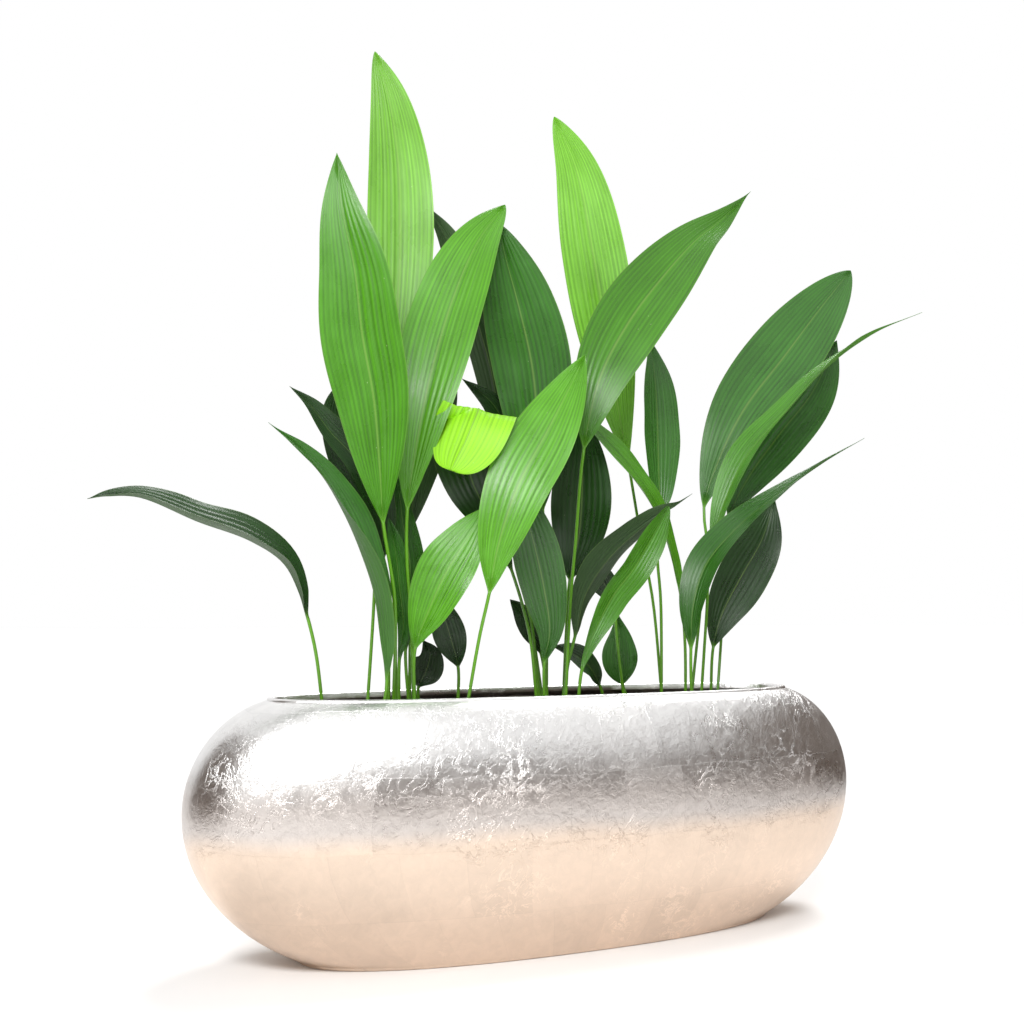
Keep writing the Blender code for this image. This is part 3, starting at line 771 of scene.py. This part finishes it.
def blade_group():
    """The ribs, streaks and marks of a leaf: U runs across it and V from 0 at the stalk to 1 at the tip."""
    group, make, given, out = new_group(
        "Leaf Ribs",
        [
            ("Blade", "NodeSocketColor", (0.05, 0.2, 0.01, 1)),
            ("Rib", "NodeSocketColor", (0.2, 0.4, 0.05, 1)),
            ("Tip", "NodeSocketColor", (0.05, 0.2, 0.01, 1)),
            ("Stalk", "NodeSocketColor", (0.1, 0.3, 0.02, 1)),
            ("Seed", "NodeSocketFloat", 0.0),
            ("Contrast", "NodeSocketFloat", 1.0),
        ],
        [("Colour", "NodeSocketColor"), ("Height", "NodeSocketFloat"), ("Dullness", "NodeSocketFloat")],
    )
    across, along, _ = make.parts(make.add("ShaderNodeUVMap").outputs[0])
    centre = make.math("ABSOLUTE", make.math("SUBTRACT", across, 0.5))

    def stretched(u, v):
        return make.point(make.times(across, u), make.times(along, v), given["Seed"])

    # Fine ribs run the length of the blade, and drift a little.
    drift = make.noise(make.point(across, along, given["Seed"]), 2.2, 1.0)
    turned = make.math("MULTIPLY_ADD", drift, 0.02, across)
    fine = make.math("MULTIPLY_ADD", make.math("SINE", make.times(turned, 400.0)), 0.5, 0.5)
    broad = make.math("MULTIPLY_ADD", make.math("SINE", make.times(turned, 104.0)), 0.5, 0.5)
    streaks = make.noise(stretched(46.0, 1.3), 1.0, 4.0, 0.62)
    patches = make.noise(stretched(3.0, 7.0), 1.0, 3.0, 0.55)
    tone = make.plus(make.times(fine, 0.35), make.times(broad, 0.3))
    tone = make.plus(tone, make.times(streaks, 1.1))
    tone = make.plus(tone, make.times(patches, 0.5))
    tone = make.span(tone, 0.55, 1.6, 0.42, 1.7, "LINEAR")
    tone = make.math("POWER", tone, given["Contrast"])
    # The Tip colour is painted light shining through, on the one leaf whose tip folds over; on the others it
    # is the blade's own green.
    green = make.mix(make.span(along, 0.60, 0.645), given["Blade"], given["Tip"])
    body = make.mix(1.0, green, make.grey(tone), "MULTIPLY")
    rib_width = make.span(along, 0.0, 0.9, 0.030, 0.010, "LINEAR")
    midrib = make.math("SUBTRACT", 1.0, make.math("DIVIDE", centre, rib_width), clamp=True)
    body = make.mix(make.times(midrib, 0.75), body, given["Rib"])
    # The margin is a thin pale line, and there are a few pale dots.
    body = make.mix(make.times(make.span(centre, 0.486, 0.497), 0.45), body, given["Rib"])
    dots = make.cells(stretched(9.0, 34.0), 1.0)
    rare = make.math("GREATER_THAN", make.red(dots["Color"]), 0.8)
    dot = make.times(make.span(dots["Distance"], 0.07, 0.04), rare)
    body = make.mix(make.times(dot, 0.35), body, (0.55, 0.66, 0.38, 1))
    stalk_share = make.span(along, 0.045, -0.01)
    make.link(make.mix(stalk_share, body, given["Stalk"]), out["Colour"])
    height = make.plus(make.times(fine, 0.45), make.times(streaks, 0.55))
    make.link(make.times(height, make.math("SUBTRACT", 1.0, stalk_share)), out["Height"])
    make.link(make.math("MULTIPLY_ADD", patches, 0.34, -0.17), out["Dullness"])
    return group


def leaf_material(name, group, blade, seed, under, tip=None):
    """The upper side of a leaf, or its duller and paler underside."""
    made = settings("leaf")
    material = bpy.data.materials.new(name)
    material.use_nodes = True
    make = Nodes(material.node_tree)
    shader = material.node_tree.nodes["Principled BSDF"]
    green = Vector(blade) * 0.85 + Vector((0.02, 0.035, 0.012)) if under else Vector(blade)
    rib = green * 0.55 + Vector((0.12, 0.18, 0.04))
    given = make.add("ShaderNodeGroup", node_tree=group)
    for label, value in (
        ("Blade", (*green, 1)),
        ("Rib", (*rib, 1)),
        ("Tip", (*(tip or green), 1)),
        ("Stalk", (*made.stalk, 1)),
        ("Seed", seed),
        ("Contrast", 0.7 if under else 1.0),
    ):
        given.inputs[label].default_value = value
    make.link(given.outputs["Colour"], shader.inputs["Base Color"])
    base_roughness = made.roughness + (0.2 if under else 0.0)
    roughness = make.math("ADD", given.outputs["Dullness"], base_roughness)
    make.link(roughness, shader.inputs["Roughness"])
    bump = make.add(
        "ShaderNodeBump", {"Strength": 0.5, "Distance": 0.0004, "Height": given.outputs["Height"]}
    )
    make.link(bump.outputs[0], shader.inputs["Normal"])
    shader.inputs["Coat Weight"].default_value = 0.0 if under else 0.12
    shader.inputs["Coat Roughness"].default_value = 0.25
    return material


def silver_group():
    """Squares of silver leaf with seams, creases and worn flecks: the UV map is in metres."""
    group, make, given, out = new_group(
        "Silver Leaf Squares",
        [
            ("Square", "NodeSocketFloat", 0.08),
            ("Upper", "NodeSocketColor", (0.8, 0.8, 0.8, 1)),
            ("Waist", "NodeSocketColor", (0.5, 0.5, 0.5, 1)),
            ("Lower", "NodeSocketColor", (0.8, 0.7, 0.6, 1)),
            ("Roughness", "NodeSocketFloat", 0.3),
        ],
        [("Colour", "NodeSocketColor"), ("Height", "NodeSocketFloat"), ("Roughness", "NodeSocketFloat")],
    )
    uv = make.add("ShaderNodeUVMap").outputs[0]
    place = make.add("ShaderNodeTexCoord").outputs["Object"]
    # The squares lie in rows, each slid along from the one under it, with edges that wander a little.
    wander = make.times(make.noise(place, 9.0, 3.0, 0.5), 0.016)
    size = make.point(given["Square"], given["Square"], 1.0)
    squares = make.vector("DIVIDE", make.vector("ADD", uv, wander), size)
    row = make.math("FLOOR", make.parts(squares)[1])
    slid = make.vector("ADD", squares, make.point(make.times(row, 0.37)))
    random = make.add("ShaderNodeTexWhiteNoise", {"Vector": make.vector("FLOOR", slid)}).outputs["Value"]
    edges = make.parts(make.vector("FRACTION", slid))
    seam = make.span(make.math("MINIMUM", edges[0], edges[1]), 0.02, 0.0)
    # Creases: flat facets with sharp lines between them, at two sizes, and flecks where the leaf is worn.
    bent = make.vector("ADD", place, make.times(make.noise(place, 30.0, 4.0, 0.6), 0.03))
    facets = make.cells(bent, 42.0, "F2")["Distance"]
    small = make.cells(bent, 130.0)["Distance"]
    crumple = make.noise(bent, 55.0, 6.0, 0.68, 0.6)
    worn = make.span(make.noise(place, 11.0, 4.0, 0.6), 0.50, 0.66)
    crease = make.math("SUBTRACT", make.noise(bent, 38.0, 5.0, 0.65, 1.2), 0.5)
    creased = make.span(make.math("ABSOLUTE", crease), 0.035, 0.0)
    height = make.plus(make.times(facets, 0.35), make.times(small, 0.25))
    height = make.plus(height, make.times(crumple, 0.8))
    height = make.plus(height, make.times(creased, make.math("MULTIPLY_ADD", worn, 0.5, 0.12)))
    height = make.plus(height, make.times(seam, 0.10))
    # The lower half is smoother. Its warm colour is a painted reflection of the floor, and the darker band
    # round the waist is a painted reflection of the surroundings.
    uneven = make.math("MULTIPLY_ADD", make.noise(place, 4.0, 2.0), 0.03, -0.015)
    level = make.plus(make.parts(place)[2], uneven)
    low = make.span(level, 0.15, 0.11, 0.0, 1.0)
    make.link(make.times(height, make.math("MULTIPLY_ADD", low, -0.75, 1.0)), out["Height"])
    # Painted reflections by height: the warm floor below the waist, a darker band round it, plain silver
    # above.
    warm = make.mix(make.span(level, 0.135, 0.165), given["Lower"], given["Waist"])
    silver = make.mix(make.span(level, 0.185, 0.235), warm, given["Upper"])
    tone = make.math("MULTIPLY_ADD", random, 0.10, 0.93)
    tone = make.times(tone, make.math("MULTIPLY_ADD", seam, -0.05, 1.0))
    tone = make.times(tone, make.math("MULTIPLY_ADD", crumple, 0.30, 0.86))
    tone = make.plus(tone, make.times(make.times(creased, worn), 0.22))
    make.link(make.mix(1.0, silver, make.grey(tone), "MULTIPLY"), out["Colour"])
    roughness = make.math("MULTIPLY_ADD", random, 0.08, given["Roughness"])
    roughness = make.plus(roughness, make.math("MULTIPLY_ADD", crumple, 0.16, -0.10))
    make.link(make.math("MULTIPLY_ADD", low, 0.08, roughness), out["Roughness"])
    return group


def silver_material():
    made = settings("planter")
    material = bpy.data.materials.new("silver leaf")
    material.use_nodes = True
    make = Nodes(material.node_tree)
    shader = material.node_tree.nodes["Principled BSDF"]
    given = make.add("ShaderNodeGroup", node_tree=silver_group())
    given.inputs["Square"].default_value = made.leaf_square
    given.inputs["Upper"].default_value = (*made.upper_colour, 1)
    # The waist and lower colours carry the painted reflections.
    given.inputs["Waist"].default_value = (*made.waist_reflection_colour, 1)
    given.inputs["Lower"].default_value = (*made.lower_reflection_colour, 1)
    given.inputs["Roughness"].default_value = made.roughness
    make.link(given.outputs["Colour"], shader.inputs["Base Color"])
    make.link(given.outputs["Roughness"], shader.inputs["Roughness"])
    bump = make.add(
        "ShaderNodeBump", {"Strength": 0.6, "Distance": made.crinkle, "Height": given.outputs["Height"]}
    )
    make.link(bump.outputs[0], shader.inputs["Normal"])
    shader.inputs["Metallic"].default_value = 1.0
    return material


def soil_material():
    material = bpy.data.materials.new("moist soil")
    material.use_nodes = True
    make = Nodes(material.node_tree)
    shader = material.node_tree.nodes["Principled BSDF"]
    place = make.add("ShaderNodeTexCoord").outputs["Object"]
    grains = make.cells(place, 260.0)
    crumbs = make.noise(place, 90.0, 8.0, 0.7)
    shade = make.red(grains["Color"])
    brown = Vector(settings("soil").colour)
    mixed = make.mix(shade, (*(brown * 0.45), 1), (*(brown * 1.9), 1))
    fibre = make.span(make.noise(place, 150.0, 2.0), 0.66, 0.74)
    mixed = make.mix(fibre, mixed, (0.16, 0.10, 0.055, 1))
    make.link(mixed, shader.inputs["Base Color"])
    height = make.math("ADD", make.math("MULTIPLY", grains["Distance"], 0.6), crumbs)
    bump = make.add("ShaderNodeBump", {"Strength": 0.9, "Distance": 0.003, "Height": height})
    make.link(bump.outputs[0], shader.inputs["Normal"])
    shader.inputs["Roughness"].default_value = 0.85
    return material


# Operators


class PLANT_OT_planter(bpy.types.Operator):
    """Builds the oval planter with its silver leaf"""

    bl_idname = "plant.planter"
    bl_label = "Build Planter"

    def execute(self, context):
        outside = side_rings(BASE_EDGE, HEIGHT - RIM_ROUND, 0.0)
        inside = side_rings(FLOOR, HEIGHT - WALL, WALL)
        rings = foot_rings() + outside + rim_rings() + list(reversed(inside))
        waist = plan_ring(WAIST_LENGTH / 2, WAIST_DEPTH / 2, 0.0)
        round_it = [0.0]
        for a, b in zip(waist, waist[1:] + waist[:1]):
            round_it.append(round_it[-1] + (b - a).length)
        up_it = [0.0]
        for low, high in zip(rings, rings[1:]):
            up_it.append(up_it[-1] + (high[PLAN_POINTS // 4] - low[PLAN_POINTS // 4]).length)
        planter = lofted(
            "silver_planter", rings, [silver_material()], lambda i, k: (round_it[k], up_it[i])
        )
        hand_over(planter, "planter")
        return {"FINISHED"}


class PLANT_OT_soil(bpy.types.Operator):
    """Builds the lumpy surface of the soil in the planter"""

    bl_idname = "plant.soil"
    bl_label = "Build Soil"

    def execute(self, context):
        lump = settings("soil").lump_height
        rings = side_rings(FLOOR + SOIL_GAP, HEIGHT - WALL, WALL + SOIL_GAP)
        rings = [ring for ring in rings if ring[0].z < SOIL_CREST - SOIL_FALL]
        rim = rings[-1]
        for i in range(SOIL_RINGS):
            share = 1 - (i + 0.5) / SOIL_RINGS
            ring = []
            for point in rim:
                x, y = point.x * share, point.y * share
                rough = noise.fractal(Vector((x, y, 0.0)) * 55.0, 0.9, 2.1, 4)
                rise = lump * 0.7 * max(-1.0, min(1.0, rough)) - 0.0005
                ring.append(Vector((x, y, soil_height(x) + rise)))
            rings.append(ring)
        spread = len(rings)
        soil = lofted(
            "potting_soil", rings, [soil_material()], lambda i, k: (k / PLAN_POINTS, i / spread)
        )
        hand_over(soil, "soil")
        return {"FINISHED"}


class PLANT_OT_leaves(bpy.types.Operator):
    """Builds every leaf with its stalk, midrib and pleats"""

    bl_idname = "plant.leaves"
    bl_label = "Build Leaves"

    def execute(self, context):
        made = settings("leaf")
        group = blade_group()
        for number, (name, leaf) in enumerate(LEAVES.items()):
            shade = shade_of(name)
            green = Vector(getattr(made, shade)) * (1 + 0.10 * math.sin(number * 2.4))
            # The folded leaf's tip gets a painted glow of light shining through it.
            tip = made.backlit_folded_tip if shade == "folded" else None
            upper = leaf_material(name + " upper side", group, green, number * 1.7, False, tip)
            under = leaf_material(name + " underside", group, green, number * 1.7, True, tip)
            rings, shares = leaf_rings(name, leaf)
            blade = lofted(
                name + "_blade",
                rings,
                [upper, under],
                lambda i, k, shares=shares: (abs(1 - k / ACROSS), shares[i]),
                lambda k: 0 if k < ACROSS else 1,
            )
            hand_over(blade, name)
        return {"FINISHED"}


def lamp(name, power, size, place, aim):
    data = bpy.data.lights.new(name, "AREA")
    data.shape = "RECTANGLE"
    data.size, data.size_y = size
    data.energy = power
    obj = bpy.data.objects.new(name, data)
    obj.location = place
    obj.rotation_euler = (Vector(aim) - Vector(place)).to_track_quat("-Z", "Y").to_euler()
    bpy.context.scene.collection.objects.link(obj)
    return obj


def plain_sheet(name, corners, colour_value):
    mesh = bpy.data.meshes.new(name)
    mesh.from_pydata(corners, [], [(0, 1, 2, 3)])
    material = bpy.data.materials.new(name)
    material.use_nodes = True
    shader = material.node_tree.nodes["Principled BSDF"]
    shader.inputs["Base Color"].default_value = (*colour_value, 1)
    shader.inputs["Roughness"].default_value = 0.9
    mesh.materials.append(material)
    obj = bpy.data.objects.new(name, mesh)
    bpy.context.scene.collection.objects.link(obj)
    return obj


def dark_card(name, start, end, low, high):
    """An upright dark sheet from start to end, seen only in reflections, so that the silver looks round."""
    corners = [(*start, low), (*end, low), (*end, high), (*start, high)]
    card = plain_sheet(name, corners, settings("stage").card_colour)
    for kind in ("camera", "diffuse", "transmission", "volume_scatter", "shadow"):
        setattr(card, "visible_" + kind, False)


class PLANT_OT_stage(bpy.types.Operator):
    """Builds the pale floor, the lamps and the camera"""

    bl_idname = "plant.stage"
    bl_label = "Build Stage"

    def execute(self, context):
        made = settings("stage")
        scene = context.scene
        signs = ((-1, -1), (1, -1), (1, 1), (-1, 1))
        corners = [(x * FLOOR_REACH, y * FLOOR_REACH, 0) for x, y in signs]
        plain_sheet("pale floor", corners, made.floor_colour)
        sun = bpy.data.objects.new("key light", bpy.data.lights.new("key light", "SUN"))
        sun.data.energy = made.key_strength
        sun.data.angle = KEY_SPREAD
        sun.rotation_euler = Vector(KEY_FROM).to_track_quat("Z", "Y").to_euler()
        scene.collection.objects.link(sun)
        lamp("front light", made.front_power, FRONT_LAMP_SIZE, FRONT_LAMP_PLACE, FRONT_LAMP_AIM)
        dark_card("dark card in front", (-2.4, -3.2), (3.4, -2.2), 0.1, 1.1)
        dark_card("dark card at the left", (-1.5, 1.6), (-1.5, -0.5), 0.0, 1.7)
        dark_card("dark card at the right", (1.5, -1.3), (1.5, 1.6), 0.0, 1.2)
        world = bpy.data.worlds.new("studio")
        world.use_nodes = True
        make = Nodes(world.node_tree)
        back = world.node_tree.nodes["Background"]
        back.inputs["Color"].default_value = (1, 1, 1, 1)
        rays = make.add("ShaderNodeLightPath").outputs
        seen = make.math("MAXIMUM", rays["Is Camera Ray"], rays["Is Glossy Ray"])
        seen = make.math("MAXIMUM", seen, rays["Is Transmission Ray"])
        make.link(make.span(seen, 0.0, 1.0, SOFT_LIGHT, 1.0, "LINEAR"), back.inputs["Strength"])
        scene.world = world
        scene.view_settings.view_transform = "Standard"
        data = bpy.data.cameras.new("camera")
        data.sensor_width = CAMERA_SENSOR
        data.lens = CAMERA_LENS
        camera = bpy.data.objects.new("camera", data)
        camera.location = CAMERA_PLACE
        camera.rotation_euler = [math.radians(degrees) for degrees in CAMERA_TURN]
        scene.collection.objects.link(camera)
        scene.camera = camera
        return {"FINISHED"}


class VIEW3D_PT_cast_iron_plant(bpy.types.Panel):
    bl_label = "Cast Iron Plant"
    bl_space_type = "VIEW_3D"
    bl_region_type = "UI"
    bl_category = "Plant"

    def draw(self, context):
        for kind, operator in (
            ("planter", "plant.planter"),
            ("soil", "plant.soil"),
            ("leaf", "plant.leaves"),
            ("stage", "plant.stage"),
        ):
            box = self.layout.box()
            made = settings(kind)
            for key in made.__annotations__:
                box.prop(made, key)
            box.operator(operator)


GROUPS = {"planter": PlanterSettings, "soil": SoilSettings, "leaf": LeafSettings, "stage": StageSettings}
CLASSES = (PLANT_OT_planter, PLANT_OT_soil, PLANT_OT_leaves, PLANT_OT_stage, VIEW3D_PT_cast_iron_plant)


def register():
    for kind, group in GROUPS.items():
        bpy.utils.register_class(group)
        setattr(bpy.types.Scene, "plant_" + kind, bpy.props.PointerProperty(type=group))
    for made in CLASSES:
        bpy.utils.register_class(made)


def unregister():
    for made in reversed(CLASSES):
        bpy.utils.unregister_class(made)
    for kind, group in GROUPS.items():
        delattr(bpy.types.Scene, "plant_" + kind)
        bpy.utils.unregister_class(group)


def main():
    register()
    bpy.ops.plant.planter()
    bpy.ops.plant.soil()
    bpy.ops.plant.leaves()
    bpy.ops.plant.stage()


if __name__ == "__main__":
    main()
